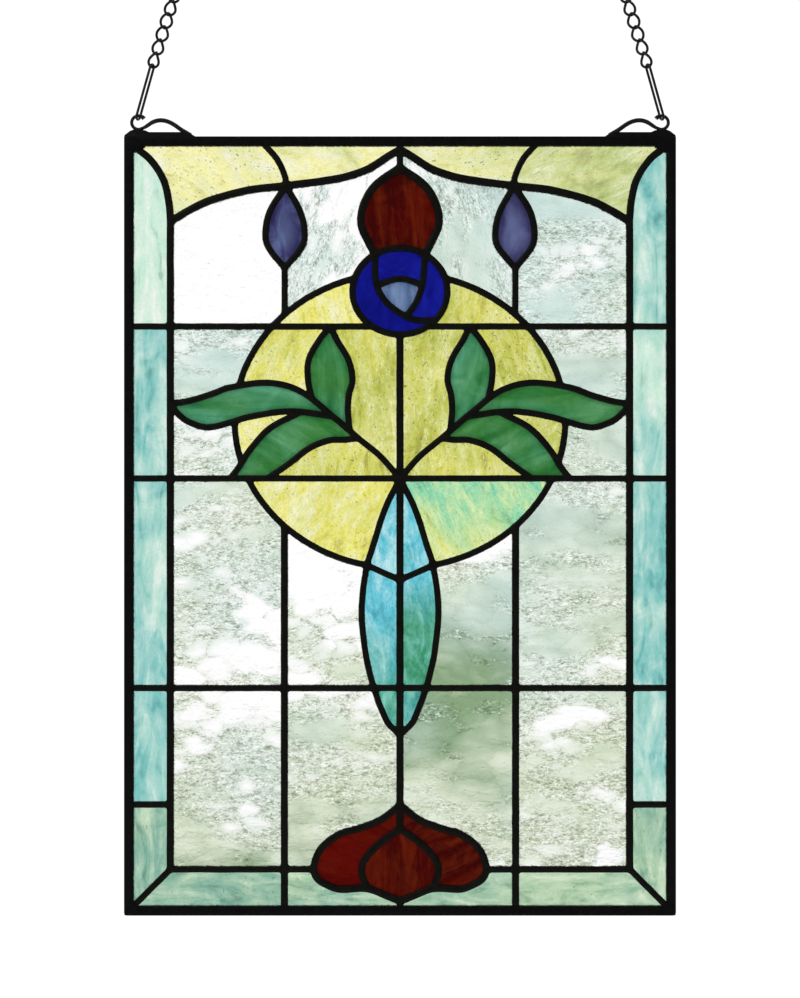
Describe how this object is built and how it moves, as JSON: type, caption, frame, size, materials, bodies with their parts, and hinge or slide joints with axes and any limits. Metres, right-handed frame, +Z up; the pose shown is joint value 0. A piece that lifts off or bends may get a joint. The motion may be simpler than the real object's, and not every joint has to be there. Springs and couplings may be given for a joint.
{
  "type": "stained glass window",
  "caption": "Leaded panel of coloured glass in a black metal frame, with a flower and leaves before a yellow disc, hung from its top corners by two short chains.",
  "frame": {"origin": "midway between the two chains' last rings, at the height where they bear on what they hang from", "axes": "+X to the right seen from the front, +Y from front to back through the glass, +Z up"},
  "size_m": [0.4318, 0.0088, 0.74],
  "materials": {
    "frame": "satin",
    "leading": "satin",
    "lug_wire": "satin",
    "chain_wire": "satin",
    "glass_aqua": "gloss",
    "glass_band": "gloss",
    "glass_clear": "gloss",
    "glass_yellow": "gloss",
    "glass_green": "gloss",
    "glass_purple": "gloss",
    "glass_red": "gloss",
    "glass_blue": "gloss",
    "glass_pale_blue": "gloss",
    "glass_turquoise": "gloss"
  },
  "bodies": {
    "root": {"frame_top": "frame", "frame_bottom": "frame", "frame_left": "frame", "frame_right": "frame", "leading": "leading", "band_outer_left": "glass_band", "band_outer_right": "glass_band", "band_inner_left": "glass_band", "band_inner_right": "glass_band", "clear_top_outer_left": "glass_clear", "clear_top_outer_right": "glass_clear", "clear_top_inner_left": "glass_clear", "clear_top_inner_right": "glass_clear", "clear_side_upper_left": "glass_clear", "clear_side_upper_right": "glass_clear", "clear_side_lower_left": "glass_clear", "clear_side_lower_right": "glass_clear", "clear_low_outer_left": "glass_clear", "clear_low_outer_right": "glass_clear", "clear_low_inner_left": "glass_clear", "clear_low_inner_right": "glass_clear", "disc_crown_left": "glass_yellow", "disc_crown_right": "glass_yellow", "disc_outer_left": "glass_yellow", "disc_outer_right": "glass_yellow", "disc_inner_left": "glass_yellow", "disc_inner_right": "glass_yellow", "disc_gap_left": "glass_yellow", "disc_gap_right": "glass_yellow", "disc_under_left": "glass_yellow", "disc_under_right": "glass_yellow", "disc_foot_left": "glass_yellow", "disc_foot_right": "glass_yellow", "leaf_long_left": "glass_green", "leaf_long_right": "glass_green", "leaf_upright_left": "glass_green", "leaf_upright_right": "glass_green", "leaf_low_left": "glass_green", "leaf_low_right": "glass_green", "bud_purple_left": "glass_purple", "bud_purple_right": "glass_purple", "pod_left": "glass_turquoise", "pod_right": "glass_turquoise", "border_left": "glass_aqua", "border_right": "glass_aqua", "tulip_left": "glass_red", "tulip_right": "glass_red", "border_bottom": "glass_aqua", "bud_red": "glass_red", "tulip_centre": "glass_red", "petal_left": "glass_blue", "petal_top": "glass_blue", "petal_right": "glass_blue", "flower_centre": "glass_pale_blue", "lug_left": "lug_wire", "lug_right": "lug_wire", "hook_left": "chain_wire", "hook_right": "chain_wire", "chain_left": "chain_wire", "chain_right": "chain_wire"}
  },
  "joints": []
}
